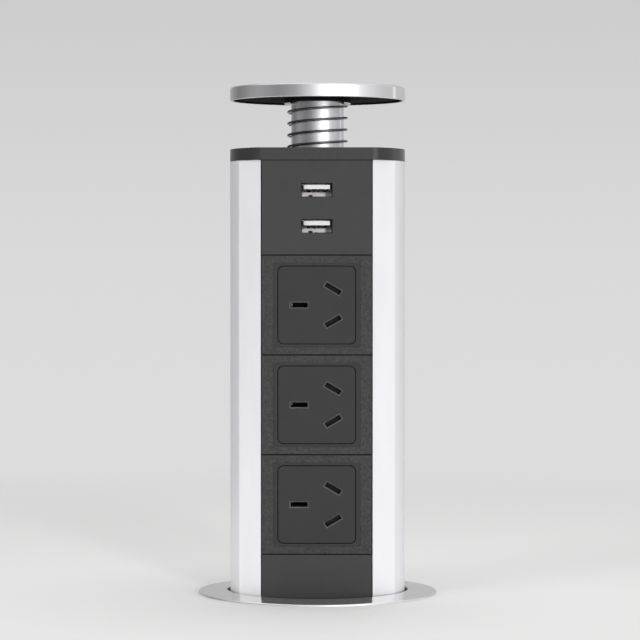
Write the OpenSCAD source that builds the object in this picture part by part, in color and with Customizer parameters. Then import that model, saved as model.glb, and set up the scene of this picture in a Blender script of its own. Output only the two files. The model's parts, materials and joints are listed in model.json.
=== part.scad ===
// Pop up desk socket: a tower that pulls up out of a desk, with sockets, charging ports and a sprung lid.
// Origin: middle of the desk hole, on the desk's top face. +Z is up, and the sockets face -Y.

/* [Desk ring] */
// Outer diameter of the trim ring
ring_d = 102.6; // [98:0.2:112]
// Thickness of the trim ring, halfway across it
ring_t = 1.5; // [1.4:0.1:2.4]
// Rise of the trim ring's top from its edge to its bore
ring_slope = 0.9; // [0.2:0.1:1.2]
// Bevel on the edges of the trim ring
ring_bevel = 0.4; // [0.2:0.05:0.6]
// Width of the trim ring outside the collar's lip
ring_border = 3.8; // [2:0.2:6]
// Step from the trim ring's bore in to the collar's bore
ring_ledge = 0.7; // [0.4:0.1:1.2]

/* [Collar and clamp] */
// Wall of the collar's plain part
collar_wall = 1.7; // [1.5:0.1:2.6]
// Length of the collar under the desk's top face
collar_len = 46; // [44:1:60]
// Thickness of the collar's lip under the trim ring
lip_t = 0.6; // [0.4:0.1:0.8]
// Plain length of the collar that fills the desk hole
seat_len = 12; // [11:1:16]
// Pitch of the collar's thread
thread_pitch = 3; // [2:0.5:4]
// Depth of the collar's thread
thread_depth = 0.6; // [0.4:0.1:0.8]
// Thickness of the desk top that is clamped
desk_t = 25; // [18:1:28]
// Thickness of the clamp washer
washer_t = 2; // [1:0.5:4]
// Width of the clamp washer, from its bore to its edge
washer_w = 9; // [6:0.5:11]
// Height of the ring nut
nut_h = 10; // [8:1:14]
// Wall of the ring nut between its grips
nut_wall = 4.4; // [3:0.2:7]
// Number of grips on the ring nut
nut_grips = 12; // [8:1:16]
// Height of the glide pads
pad_h = 7; // [5:0.5:8]
// Arc that each glide pad covers
pad_arc = 36; // [20:1:45]

/* [Tower] */
// Diameter of the tower, its cap and its lid
tower_d = 75; // [72:0.5:80]
// Gap between the tower and the collar's bore
tower_gap = 0.5; // [0.45:0.05:0.8]
// Wall of the tower's shell
shell_wall = 1.8; // [1.5:0.1:2.2]
// Turn of the shell's two flat facets away from the front
facet_turn = 41.5; // [40:0.5:44]
// How far each facet lies inside the tower's round
facet_inset = 2.3; // [1.9:0.1:2.6]
// Width of the front panels
panel_w = 46.6; // [44:0.2:47]
// Gap beside the front panels
panel_gap = 0.25; // [0.15:0.05:0.4]
// Gap between one front panel and the next
panel_seam = 0.3; // [0.2:0.05:0.5]
// How far the panels' front lies inside the tower's round
panel_inset = 10.3; // [9.5:0.1:10.9]
// Thickness of the panels' front wall
panel_t = 3; // [2.5:0.1:3.5]
// Distance from the panels' front back to their rails
rail_back = 6.7; // [6.4:0.1:7.2]
// Thickness of the panels' rails
rail_t = 1.8; // [1.4:0.1:2.2]
// Wall of the panels' sides
side_t = 2; // [1.5:0.1:2.4]
// Height of the lowest socket's lower edge above the desk
blank_top = 19.3; // [14:0.1:40]
// Height of one socket panel
socket_h = 42; // [40:0.5:50]
// Height of the charging panel
usb_h = 40; // [39:0.5:50]
// Thickness of the top cap
cap_t = 5.2; // [4.8:0.1:8]
// How far the top cap stands in front of the panels
cap_lead = 0.4; // [0.2:0.1:0.8]
// Radius of the top cap's two front corners
cap_corner_r = 5; // [3:0.5:7]
// Thickness of the bottom cap
base_t = 4; // [3.5:0.5:6]

/* [Screws] */
// Radius of a screw's shank
screw_r = 1.45; // [1.2:0.05:1.6]
// Radius of a countersunk screw's head
screw_head_r = 2.8; // [2.5:0.1:3]
// Length of a screw
screw_len = 14; // [10:1:20]

/* [Sockets] */
// Width and height of a socket's insert
insert_w = 32.4; // [31:0.2:33]
// Corner radius of the insert
insert_r = 2.2; // [1:0.1:4]
// Gap around the insert
insert_gap = 0.35; // [0.2:0.05:0.5]
// Width of the shallow recess around the insert
recess_w = 36.7; // [35:0.1:39]
// Height of the shallow recess around the insert
recess_h = 35.4; // [35:0.1:37]
// Depth of the shallow recess
recess_deep = 0.3; // [0.2:0.05:0.5]
// Distance between the live and neutral slots
pole_pitch = 13.72; // [13.5:0.02:14]
// Distance from the earth slot to the line of the other two
earth_reach = 14.27; // [14:0.01:14.5]
// Distance from the insert's middle out to the earth slot
earth_x = 7.4; // [7:0.1:7.8]
// Length of a slot
slot_l = 7.1; // [6.8:0.1:7.4]
// Width of a slot
slot_w = 1.9; // [1.8:0.05:2.1]
// Bevel around a slot
slot_bevel = 0.6; // [0.4:0.05:0.8]
// Slope of the live and neutral slots
slot_slope = 30; // [28:0.5:32]
// Thickness of a shutter
shutter_t = 1.4; // [1:0.1:1.8]
// Travel of a shutter
shutter_travel = 3; // [2.8:0.1:3.4]
// Wall of the contact housing
housing_wall = 1.6; // [1.2:0.1:2]
// Thickness of a contact bar
bar_t = 0.8; // [0.6:0.1:1]
// Width of a contact bar
bar_w = 2.4; // [2:0.1:2.6]
// Length of a contact leaf
leaf_l = 7; // [6:0.1:7.4]
// Thickness of a contact leaf
leaf_t = 0.6; // [0.4:0.05:0.7]
// Gap between the two leaves of a contact
leaf_gap = 1.7; // [1.5:0.05:1.9]

/* [Charging ports] */
// Width of a port's opening
port_w = 12.5; // [12:0.1:13]
// Height of a port's opening
port_h = 5.12; // [5:0.02:5.4]
// Wall of a port's metal shell
port_wall = 0.3; // [0.2:0.05:0.4]
// Depth of a port
port_depth = 10; // [9:0.5:10.5]
// Distance between the two ports
port_pitch = 15.2; // [12:0.1:18]
// Distance from the charging panel's top edge to the upper port
port_drop = 12.7; // [11:0.1:14]
// Width of a port's tongue
tongue_w = 11.1; // [10.8:0.1:11.3]
// Thickness of a port's tongue
tongue_t = 1.84; // [1.7:0.02:2]
// Length of a port's tongue
tongue_len = 7.6; // [6:0.1:8]
// Thickness of the circuit board
board_t = 1.6; // [1:0.1:2]

/* [Lid and post] */
// Thickness of the lid
lid_t = 5.8; // [5:0.1:8]
// Gap between the top cap and the raised lid
lid_rise = 20.8; // [19:0.1:26]
// Thickness of the lid's top
lid_skin = 1.5; // [1:0.1:1.8]
// Wall of the lid's rim
lid_rim = 1.2; // [1:0.1:2]
// How far the liner lies above the lid's rim
liner_lift = 0.8; // [0.5:0.1:1.2]
// Travel of the lid when it is pressed down
lid_travel = 14; // [10:0.5:14.5]
// How far the post's side lies inside the tower's round
post_inset = 26.2; // [26.1:0.1:27.5]
// Wall of the post
post_wall = 2; // [1.5:0.1:3]
// How far the black boss and the spring washer under the lid stand out from the post
boss_wrap = 2.95; // [2.5:0.05:4.5]
// How far the boss stands below the lid's rim
boss_drop = 0.5; // [0.2:0.1:1.5]
// Thickness of the spring washer
seat_t = 0.8; // [0.5:0.1:1.5]
// How far the spring stands out from the post
spring_wrap = 1.9; // [1.6:0.05:2.2]
// Diameter of the spring's wire
wire_d = 1.2; // [0.8:0.05:1.3]
// Number of turns of the spring
spring_turns = 4; // [3:1:5]
// Wall of the post's bush
bush_wall = 1; // [0.8:0.1:1.2]
// Side of the push latch
latch_w = 14; // [11:0.5:14]
// Height of the push latch
latch_h = 15; // [14.5:0.5:18]

/* [Cable entry] */
// Diameter of the cable that the gland takes
cable_d = 8; // [6:0.5:9]
// Diameter of the gland's thread
gland_d = 16; // [15:0.5:18]
// Width of the gland's hexagon, corner to corner
gland_hex = 25; // [22:0.5:26]
// Diameter of the inner wires
core_d = 2.6; // [2:0.1:3]

/* [Hidden] */
$fn = 96;

// Small overlap that keeps a cut clear of the face it cuts
over = 0.1;
// Length that reaches past the whole tower in plan
span = 4 * tower_d;
// Close fit between fixed pieces
fit = 0.1;
// Gap beside pieces that slide
slip = 0.3;
// Running clearance of the post in its bush
run = 0.06;
// Clearance of a thread or a hole over the screw in it
screw_gap = 0.1;

// Desk ring and collar
ring_r = ring_d / 2;
ring_low = ring_t - ring_slope / 2;
ring_high = ring_t + ring_slope / 2;
tower_r = tower_d / 2;
bore_r = tower_r + tower_gap;
collar_r = bore_r + collar_wall;
ring_bore_r = bore_r + ring_ledge;
lip_r = ring_r - ring_border;
thread_inset = 0.2;
crest_r = collar_r - thread_inset;
root_r = crest_r - thread_depth;
collar_bevel = 0.5;
collar_foot = 2;
guide_top = -(lid_t - ring_t + slip);
guide_bottom = -(collar_len - collar_foot - slip);
thread_turns = floor((collar_len - collar_foot - seat_len) / thread_pitch);
pad_out = 0.8;
pad_in = tower_gap - slip;
pad_z = -3;
pad_turns = [15, 90, 165];
washer_r = collar_r + slip + washer_w;
washer_z = -desk_t - washer_t;
nut_z = washer_z - nut_h;
grip_out = 2;
grip_in = 1;
grip_w = 6;
nut_r = crest_r + slip + nut_wall;

// Heights of the tower
shell_z = -(collar_len - collar_foot);
usb_z = blank_top + 3 * socket_h;
cap_z = usb_z + usb_h;
cap_top = cap_z + cap_t;
lid_z = cap_top + lid_rise;
lid_top = lid_z + lid_t;
base_z = shell_z - base_t;

// Plan of the tower
facet_reach = tower_r - facet_inset;
panel_face = tower_r - panel_inset;
opening_w = panel_w + 2 * panel_gap;
rail_y = panel_face - rail_back;
rail_gap = 0.5;
rail_reach = (facet_reach - shell_wall - rail_gap - rail_y * cos(facet_turn)) / sin(facet_turn);
keeper_t = 1.5;
keeper_lap = 1.5;
keeper_gap = 0.25;
cap_front = panel_face + cap_lead;
corner_y = cap_front - cap_corner_r;
corner_x = sqrt(pow(tower_r - cap_corner_r, 2) - pow(corner_y, 2));
boss_r = 2.9;
boss_bite = 0.7;
port_ring_r = tower_r - shell_wall - boss_r + boss_bite;
port_turns = [28, 80, 280, 332];
screw_hole_r = screw_r + screw_gap;

// Sockets, counted from the top
function socket_z(row) = blank_top + socket_h * (2.5 - row);
insert_face = panel_face - recess_deep;
insert_back = panel_face - panel_t;
clip_t = 1.7;
clip_lap = 1.5;
clip_w = insert_w + 2 * insert_gap + 2 * clip_lap;
clip_back = insert_back - clip_t;
shutter_play = 0.2;
shutter_face = clip_back - shutter_play;
shutter_back = shutter_face - shutter_t;
pole_x = earth_reach - earth_x;
shutter_side = 0.25;
shutter_w = 2 * (pole_x + shutter_side);
shutter_end = 5;
window_gap = 0.35;
web_face = shutter_back - shutter_play;
web_t = 1;
web_bite = 0.4;
guide_t = 1;
housing_gap = 0.4;
housing_half = panel_w / 2 - side_t - housing_gap;
housing_back = 6.5;
clip_gap = 0.15;
housing_z = socket_z(2) - clip_w / 2 - clip_gap - housing_wall;
housing_top = socket_z(0) + clip_w / 2 + clip_gap + housing_wall;
bar_y = housing_back + housing_wall;
bar_tail = 9;
bar_low = housing_z - bar_tail;
bar_head = 4;
bar_high = usb_z + bar_head;
bar_end_gap = 1;
pole_spread = 4.9;
live_x = pole_x + pole_spread;
neutral_x = pole_x - pole_spread;
foot_half = 2.8;
leaf_set_back = 1;
leaf_front = web_face - leaf_set_back;

// Charging ports
port_out_w = port_w + 2 * port_wall;
port_out_h = port_h + 2 * port_wall;
port_zs = [cap_z - port_drop, cap_z - port_drop - port_pitch];
port_sink = 1.2;
port_face = panel_face - port_sink;
port_back = port_face - port_depth;
tongue_sink = 0.8;
tongue_front = port_face - tongue_sink;
tongue_lift = 0.4;
pin_xs = [-3.5, -1, 1, 3.5];
pin_w = 1;
pin_t = 0.25;
pin_sink = 0.6;
board_back = port_back - board_t;
board_edge = 1;
board_w = 2 * (housing_half - board_edge);
board_low = 1.5;
board_z = usb_z + board_low;
part_x = 14;
part_deep = 8;
coil_w = 10;
coil_h = 11;
coil_low = 4;
can_r = 3.2;
can_pitch = 7;
can_low = 8;
lead_w = 1.4;
lead_drop = 2.5;

// Lid, post and spring
post_r = tower_r - post_inset;
post_d = 2 * post_r;
spring_d = post_d + 2 * spring_wrap;
boss_d = post_d + 2 * boss_wrap;
bush_r = post_r + run + bush_wall;
spring_gap = 0.8;
recess_r = spring_d / 2 + spring_gap;
bush_flange_r = recess_r - fit;
bush_flange_t = 1;
spring_recess = 2.4;
bush_seat = cap_top - spring_recess;
spring_low = bush_seat + bush_flange_t;
boss_bottom = lid_z - boss_drop;
spring_high = boss_bottom - seat_t;
liner_z = lid_z + liner_lift;
liner_top = lid_top - lid_skin - fit;
liner_r = tower_r - lid_rim - fit;
liner_edge = 0.8;
lid_bevel = 0.5;
bush_drop = 5.3;
bush_low = cap_z - bush_drop;
bush_tail = 0.5;
cap_boss_wall = 3;
cap_boss_r = bush_r + cap_boss_wall;
cap_boss_low = bush_low + bush_tail;
clip_stop_gap = 0.2;
clip_high = bush_low - clip_stop_gap;
clip_h = 1.2;
clip_out = 2;
clip_in = 0.7;
clip_mouth = 5;
groove_deep = 0.8;
post_tail = 1.6;
post_low = clip_high - clip_h - post_tail;
post_plug = 8;
post_bolt_r = 2.5;
bolt_floor = 1.3;
bolt_gap = 0.3;
bolt_head_z = liner_z + bolt_floor;
striker_r = 3;
striker_plug = 6;
striker_fit = 0.05;
striker_reach = 13.5;
striker_low = post_low - striker_reach;
latch_gap = 1.5;
latch_play = 0.4;
latch_floor_gap = 0.5;
latch_top = striker_low - latch_gap;
latch_low = latch_top - latch_h;
plate_t = 1.5;
strap_w = 16;
strap_gap = 0.7;
strap_y = cap_boss_r + strap_gap;
strap_foot = 11;
strap_screw_x = 5;
strap_screw_out = 7;
strap_screw_y = strap_y + strap_screw_out;
strap_screw_in = 3;
strap_head_h = 1.6;

// Cable entry
gland_r = gland_d / 2;
seal_wall = 1.8;
gland_bore_r = cable_d / 2 + seal_wall + fit;
gland_flange = 5;
gland_stub = 7;
gland_inside = 6;
gland_low = base_z - gland_flange - gland_stub;
locknut_h = 4;
locknut_inset = 1;
seal_h = 10;
gland_taper = 5;
gland_floor = 1;
gland_mouth = 0.6;
nut_low = gland_low - gland_taper - gland_floor;
nut_tip = 1;
nut_shoulder = 1.5;
block_w = 24;
block_d = 14;
block_h = 16;
block_y = 15;
block_lift = 8;
block_z = shell_z + block_lift;
stand_x = 8;
stand_r = 3;
wire_xs = [-8, 0, 8];
wire_in = 5;
wire_hole = 6;
clamp_r = 1.6;
clamp_len = 5;
clamp_out = 0.6;

// Swept tubes: rings of points along a route, and the faces that join them
tube_sides = 6;
function ring_of(centre, across, up, r) = [
    for (k = [0:tube_sides - 1])
        let (turn = 360 * k / tube_sides)
            centre + r * cos(turn) * across + r * sin(turn) * up
];
function tube_faces(rings) = let (last = (rings - 1) * tube_sides) concat(
    [for (k = [1:tube_sides - 2]) [0, k, k + 1]],
    [for (ring = [0:rings - 2]) for (k = [0:tube_sides - 1])
        let (a = ring * tube_sides + k, b = ring * tube_sides + (k + 1) % tube_sides)
            each [[a, a + tube_sides, b], [b, a + tube_sides, b + tube_sides]]],
    [for (k = [1:tube_sides - 2]) [last, last + k + 1, last + k]]
);

// Spring wire: one unbroken helix with straight ends
coil_r = (spring_d - wire_d) / 2;
wire_r = wire_d / 2;
rings_a_turn = 24;
coil_rings = spring_turns * rings_a_turn;
coil_climb = (spring_high - spring_low - wire_d) / coil_rings;
function coil_out(k) = let (turn = 360 * k / rings_a_turn) [cos(turn), sin(turn), 0];
function coil_along(k) = let (turn = 360 * k / rings_a_turn) [-sin(turn), cos(turn), 0];
function coil_point(k) = coil_r * coil_out(k) + [0, 0, spring_low + wire_r + coil_climb * k];
function coil_ring(centre, k) = ring_of(centre, coil_out(k), [0, 0, 1], wire_r);
coil_tube = concat(
    [coil_ring(coil_point(0) - wire_d * coil_along(0), 0)],
    [for (k = [0:coil_rings]) coil_ring(coil_point(k), k)],
    [coil_ring(coil_point(coil_rings) + wire_d * coil_along(coil_rings), coil_rings)]
);
coil_gap = min([
    for (i = [0:coil_rings - rings_a_turn / 2])
        for (j = [i + rings_a_turn / 2:coil_rings])
            norm(coil_point(i) - coil_point(j))
]) - wire_d;
echo(least_gap_of_the_spring_to_itself_mm = coil_gap);

// Inner wires: each rises from the terminal block, crosses over and rises on to its bar
wire_steps = 12;
function eased(t) = let (u = min(max((t - 0.2) / 0.6, 0), 1)) u * u * (3 - 2 * u);
function wire_point(from, to, k) = let (t = k / wire_steps) [
    from.x + (to.x - from.x) * eased(t),
    from.y + (to.y - from.y) * eased(t),
    from.z + (to.z - from.z) * t
];
function wire_way(from, to, k) = let (
    a = wire_point(from, to, max(k - 1, 0)),
    b = wire_point(from, to, min(k + 1, wire_steps))
) (b - a) / norm(b - a);
function wire_ring(from, to, k) = let (
    way = wire_way(from, to, k),
    side = cross([0, 1, 0], way),
    across = side / norm(side)
) ring_of(wire_point(from, to, k), across, cross(way, across), core_d / 2);

// Plan shapes

// Everything behind a line at a distance in front of the axis, turned about the axis
module half_plane(turn, reach) {
    rotate(turn) translate([-span / 2, -reach]) square(span);
}

// Outline of the tower's shell, moved inwards
module shell_plan(inset) {
    intersection() {
        circle(r = tower_r - inset);
        half_plane(facet_turn, facet_reach - inset);
        half_plane(-facet_turn, facet_reach - inset);
    }
}

// Ribs that hold the panels' rails from the front and from behind
module keepers() {
    for (side = [0, 1]) mirror([side, 0]) {
        translate([(opening_w + keeper_gap) / 2, -rail_y - keeper_gap - keeper_t])
            square([tower_r, keeper_t]);
        translate([rail_reach - keeper_lap, -rail_y + rail_t + keeper_gap]) square([tower_r, keeper_t]);
    }
}

// Places of the screw ports around the shell's inside
module at_ports() {
    for (turn = port_turns) rotate(turn) translate([0, port_ring_r]) children();
}

// Cross-section of the tower's shell
module shell_section() {
    difference() {
        union() {
            difference() {
                shell_plan(0);
                shell_plan(shell_wall);
            }
            intersection() {
                shell_plan(shell_wall / 2);
                union() {
                    keepers();
                    at_ports() circle(r = boss_r);
                }
            }
        }
        translate([-opening_w / 2, -tower_d]) square([opening_w, tower_d]);
        at_ports() circle(r = screw_hole_r);
    }
}

// Outline of the top cap: a round with a flat front and two round corners
module cap_plan() {
    corner = [corner_x, -corner_y];
    difference() {
        intersection() {
            circle(r = tower_r);
            half_plane(0, cap_front);
        }
        for (side = [0, 1]) mirror([side, 0])
            polygon([
                corner,
                corner - [0, 2 * cap_corner_r],
                corner + [2 * cap_corner_r, -2 * cap_corner_r],
                corner + 2 * cap_corner_r * corner / norm(corner)
            ]);
    }
    for (side = [0, 1]) mirror([side, 0]) translate(corner) circle(r = cap_corner_r);
}

// Cross-section of a front panel: front wall, two sides and two rails
module panel_section() {
    translate([-panel_w / 2, -panel_face]) square([panel_w, panel_t]);
    for (side = [0, 1]) mirror([side, 0]) {
        translate([panel_w / 2 - side_t, -panel_face]) square([side_t, rail_back + rail_t]);
        translate([panel_w / 2 - side_t, -rail_y]) square([rail_reach - panel_w / 2 + side_t, rail_t]);
    }
}

// Square with round corners, about its middle
module round_square(w, h, r) {
    square([w - 2 * r, h], center = true);
    square([w, h - 2 * r], center = true);
    for (x = [-1, 1]) for (y = [-1, 1]) translate([x * (w / 2 - r), y * (h / 2 - r)]) circle(r = r);
}

// Solid helpers

// Flat ring or disc with a bore
module tube(outer, inner, z, h) {
    translate([0, 0, z]) difference() {
        cylinder(r = outer, h = h);
        translate([0, 0, -over]) cylinder(r = inner, h = h + 2 * over);
    }
}

// Front panel between two heights
module panel(z, h) {
    translate([0, 0, z + panel_seam / 2]) linear_extrude(h - panel_seam) panel_section();
}

// A front view, drawn in x and z, pressed back from a distance in front of the axis
module facing(reach, depth) {
    translate([0, depth - reach, 0]) rotate([90, 0, 0]) linear_extrude(depth) children();
}

// Block between two depths in front of the axis
module block(x, z, w, h, front, back) {
    translate([x - w / 2, -front, z]) cube([w, front - back, h]);
}

// Countersunk screw that points down from its head's top
module screw(head_z) {
    cone = screw_head_r - screw_r;
    translate([0, 0, head_z - cone]) cylinder(r1 = screw_r, r2 = screw_head_r, h = cone);
    translate([0, 0, head_z - screw_len]) cylinder(r = screw_r, h = screw_len - cone);
}

// Hole for a countersunk screw through a plate
module screw_hole(head_z, plate) {
    cone = screw_head_r - screw_r;
    translate([0, 0, head_z - cone]) cylinder(r1 = screw_hole_r, r2 = screw_hole_r + cone, h = cone);
    translate([0, 0, head_z - over]) cylinder(r = screw_hole_r + cone, h = 2 * over);
    translate([0, 0, head_z - plate - over]) cylinder(r = screw_hole_r, h = plate + over);
}

// Places of the three slots, in the front view
module at_slots() {
    translate([-earth_x, 0]) children();
    translate([pole_x, pole_pitch / 2]) rotate(-slot_slope) children();
    translate([pole_x, -pole_pitch / 2]) rotate(slot_slope) children();
}

// Desk ring, collar and clamp

module trim_ring() {
    color("silver") rotate_extrude() polygon([
        [ring_bore_r, lip_t], [lip_r + fit, lip_t], [lip_r + fit, 0], [ring_r, 0],
        [ring_r, ring_low - ring_bevel], [ring_r - ring_bevel, ring_low],
        [ring_bore_r + ring_bevel, ring_high], [ring_bore_r, ring_high - ring_bevel]
    ]);
}

module pad_ring(turn, inner, outer, grow) {
    translate([0, 0, pad_z - pad_h - grow]) rotate(turn - pad_arc / 2 - grow)
        rotate_extrude(angle = pad_arc + 2 * grow)
            translate([inner, 0]) square([outer - inner, pad_h + 2 * grow]);
}

module collar() {
    thread = [for (k = [0:thread_turns - 1]) let (z = -seat_len - k * thread_pitch) each [
        [root_r, z], [root_r, z - 0.25 * thread_pitch],
        [crest_r, z - 0.5 * thread_pitch], [crest_r, z - 0.75 * thread_pitch]
    ]];
    color("dimgray") difference() {
        union() {
            rotate_extrude() polygon(concat(
                [[bore_r, lip_t], [lip_r, lip_t], [lip_r, 0], [collar_r, 0], [collar_r, -seat_len]],
                thread,
                [[crest_r, collar_bevel - collar_len], [crest_r - collar_bevel, -collar_len],
                    [bore_r, -collar_len]]
            ));
            translate([0, 0, guide_bottom]) linear_extrude(guide_top - guide_bottom) difference() {
                circle(r = bore_r + collar_wall / 4);
                half_plane(0, cap_front + slip);
            }
        }
        for (turn = pad_turns) pad_ring(turn, bore_r - over, bore_r + pad_out + fit, fit);
    }
}

module glide_pads() {
    color("gray") for (turn = pad_turns) pad_ring(turn, bore_r - pad_in, bore_r + pad_out, 0);
}

module clamp_washer() {
    color("gray") tube(washer_r, collar_r + slip, washer_z, washer_t);
}

module ring_nut() {
    color("dimgray") difference() {
        union() {
            translate([0, 0, nut_z]) cylinder(r = nut_r, h = nut_h);
            for (k = [0:nut_grips - 1]) rotate(360 * k / nut_grips)
                translate([nut_r - grip_in, -grip_w / 2, nut_z]) cube([grip_in + grip_out, grip_w, nut_h]);
        }
        translate([0, 0, nut_z - over]) cylinder(r = crest_r + slip, h = nut_h + 2 * over);
    }
}

// Tower shell and its two ends

module tower_shell() {
    color("gainsboro") translate([0, 0, shell_z]) linear_extrude(cap_z - shell_z) shell_section();
}

module top_cap() {
    color("dimgray") difference() {
        union() {
            translate([0, 0, cap_z]) linear_extrude(cap_t) cap_plan();
            translate([0, 0, cap_boss_low]) cylinder(r = cap_boss_r, h = cap_z - cap_boss_low + over);
        }
        translate([0, 0, bush_seat]) cylinder(r = recess_r, h = spring_recess + over);
        translate([0, 0, cap_boss_low - over]) cylinder(r = bush_r + run, h = cap_t + cap_z - cap_boss_low);
        at_ports() screw_hole(cap_top, cap_t);
        for (x = [-1, 1]) translate([x * strap_screw_x, strap_screw_y, cap_z - over])
            cylinder(r = screw_r, h = strap_screw_in + 2 * over);
    }
}

module cap_screws() {
    color("silver") at_ports() screw(cap_top);
}

module bottom_cap() {
    color("dimgray") difference() {
        union() {
            translate([0, 0, base_z]) cylinder(r = tower_r, h = base_t);
            for (x = [-1, 1]) translate([x * stand_x, block_y, shell_z - over])
                cylinder(r = stand_r, h = block_lift + over);
        }
        translate([0, 0, base_z - over]) cylinder(r = gland_r + fit, h = base_t + 2 * over);
        at_ports() translate([0, 0, base_z]) mirror([0, 0, 1]) screw_hole(0, base_t);
    }
}

module bottom_screws() {
    color("silver") at_ports() translate([0, 0, base_z]) mirror([0, 0, 1]) screw(0);
}

// Charging panel

module usb_plate() {
    color("dimgray") difference() {
        panel(usb_z, usb_h);
        for (z = port_zs) translate([0, 0, z]) facing(panel_face + over, panel_t + 2 * over)
            square([port_out_w + 2 * fit, port_out_h + 2 * fit], center = true);
    }
}

module usb_shell(z) {
    color("silver") translate([0, 0, z]) facing(port_face, port_depth) difference() {
        square([port_out_w, port_out_h], center = true);
        square([port_w, port_h], center = true);
    }
}

module usb_shell_upper() { usb_shell(port_zs[0]); }

module usb_shell_lower() { usb_shell(port_zs[1]); }

module usb_tongues() {
    color("white") for (z = port_zs) {
        block(0, z + tongue_lift, tongue_w, tongue_t, tongue_front, tongue_front - tongue_len);
        block(0, z - port_h / 2, port_w, port_h, tongue_front - tongue_len + over, port_back);
    }
}

module usb_pins() {
    color("gold") for (z = port_zs) for (x = pin_xs)
        block(x, z + tongue_lift - pin_t, pin_w, pin_t,
            tongue_front - pin_sink, tongue_front - tongue_len + over);
}

module usb_board() {
    color("darkgreen") block(0, board_z, board_w, cap_boss_low - board_edge - board_z, port_back, board_back);
}

module usb_parts() {
    color("goldenrod") block(-part_x, usb_z + coil_low, coil_w, coil_h, board_back, board_back - part_deep);
    color("black") for (k = [0, 1]) translate([part_x, -board_back, usb_z + can_low + k * can_pitch])
        rotate([-90, 0, 0]) cylinder(r = can_r, h = part_deep);
}

module usb_leads() {
    color("firebrick") for (x = [live_x, neutral_x])
        block(x, bar_high - lead_drop, lead_w, lead_w, board_back, bar_y + bar_t);
}

// Socket panels

module socket_frame(row) {
    color("dimgray") difference() {
        panel(socket_z(row) - socket_h / 2, socket_h);
        translate([0, 0, socket_z(row)]) {
            facing(panel_face + over, panel_t + 2 * over)
                round_square(insert_w + 2 * insert_gap, insert_w + 2 * insert_gap, insert_r + insert_gap);
            facing(panel_face + over, recess_deep + over) square([recess_w, recess_h], center = true);
        }
    }
}

module socket_frame_upper() { socket_frame(0); }

module socket_frame_middle() { socket_frame(1); }

module socket_frame_lower() { socket_frame(2); }

// Sloping sides around a slot's mouth, widening upwards from the slot's own size
module slot_flare() {
    flare = slot_bevel + over;
    corners = [[-1, -1], [1, -1], [1, 1], [-1, 1]];
    small = [for (c = corners) [c.x * slot_l / 2, c.y * slot_w / 2, 0]];
    large = [for (c = corners) [c.x * (slot_l / 2 + flare), c.y * (slot_w / 2 + flare), flare]];
    sides = [for (k = [0:3]) [k, k + 4, (k + 1) % 4 + 4, (k + 1) % 4]];
    polyhedron(concat(small, large), concat([[0, 1, 2, 3], [7, 6, 5, 4]], sides));
}

module socket_insert(row) {
    color("dimgray") translate([0, 0, socket_z(row)]) difference() {
        union() {
            facing(insert_face, insert_face - insert_back + over) round_square(insert_w, insert_w, insert_r);
            facing(insert_back, clip_t) square(clip_w, center = true);
            for (side = [-1, 1])
                block(pole_x + side * (shutter_w / 2 + slip + guide_t / 2), -clip_w / 2, guide_t, clip_w,
                    clip_back + over, shutter_back);
        }
        facing(insert_face + over, insert_face - clip_back + 2 * over)
            at_slots() square([slot_l, slot_w], center = true);
        translate([0, slot_bevel - insert_face, 0]) rotate([90, 0, 0]) at_slots() slot_flare();
    }
}

module socket_insert_upper() { socket_insert(0); }

module socket_insert_middle() { socket_insert(1); }

module socket_insert_lower() { socket_insert(2); }

// Plate that covers the live and neutral slots until it is pushed down
module shutter(row) {
    low = -pole_pitch / 2 - shutter_end;
    high = pole_pitch / 2 + shutter_end + shutter_travel;
    color("gray") translate([0, 0, socket_z(row)]) facing(shutter_face, shutter_t) difference() {
        translate([pole_x - shutter_w / 2, low]) square([shutter_w, high - low]);
        for (side = [-1, 1]) translate([pole_x, side * pole_pitch / 2 + shutter_travel])
            rotate(-side * slot_slope)
                square([slot_l + 2 * window_gap, slot_w + 2 * window_gap], center = true);
    }
}

module shutter_upper() { shutter(0); }

module shutter_middle() { shutter(1); }

module shutter_lower() { shutter(2); }

// Contacts behind the sockets

// Slot in the housing's end walls for a bar
module bar_passage(x) {
    block(x, housing_z - over, bar_w + 2 * slip, housing_top - housing_z + 2 * over,
        bar_y + bar_t + slip, bar_y - over);
}

module contact_housing() {
    inner = housing_half - housing_wall;
    web_xs = [pole_x - shutter_w / 2 + web_bite - web_t / 2, pole_x + shutter_w / 2 - web_bite + web_t / 2];
    color("whitesmoke") {
        difference() {
            block(0, housing_z, 2 * housing_half, housing_top - housing_z, insert_back, housing_back);
            block(0, housing_z + housing_wall, 2 * inner, housing_top - housing_z - 2 * housing_wall,
                insert_back + over, bar_y);
            for (x = [live_x, neutral_x, -earth_x]) bar_passage(x);
        }
        for (x = web_xs)
            block(x, housing_z, web_t, housing_top - housing_z, web_face, bar_y - over);
    }
}

// Two leaves that grip one pin, in the front view
module leaf_pair() {
    for (side = [-1, 1]) translate([-leaf_l / 2, side * (leaf_gap + leaf_t) / 2 - leaf_t / 2])
        square([leaf_l, leaf_t]);
}

// Bar along the tower, with a pair of leaves and a foot for each socket
module contact_bar(bar_x, leaf_x, leaf_z, slope, high) {
    foot = bar_y + bar_t;
    block(bar_x, bar_low, bar_w, high - bar_low, foot, bar_y);
    for (row = [0:2]) translate([0, 0, socket_z(row) + leaf_z]) {
        left = min(bar_x - bar_w / 2, leaf_x - foot_half);
        right = max(bar_x + bar_w / 2, leaf_x + foot_half);
        block((left + right) / 2, -foot_half, right - left, 2 * foot_half, foot, bar_y);
        facing(leaf_front, leaf_front - foot + over) translate([leaf_x, 0]) rotate(slope) leaf_pair();
    }
}

module live_bar() {
    color("goldenrod") contact_bar(live_x, pole_x, pole_pitch / 2, -slot_slope, bar_high);
}

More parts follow.
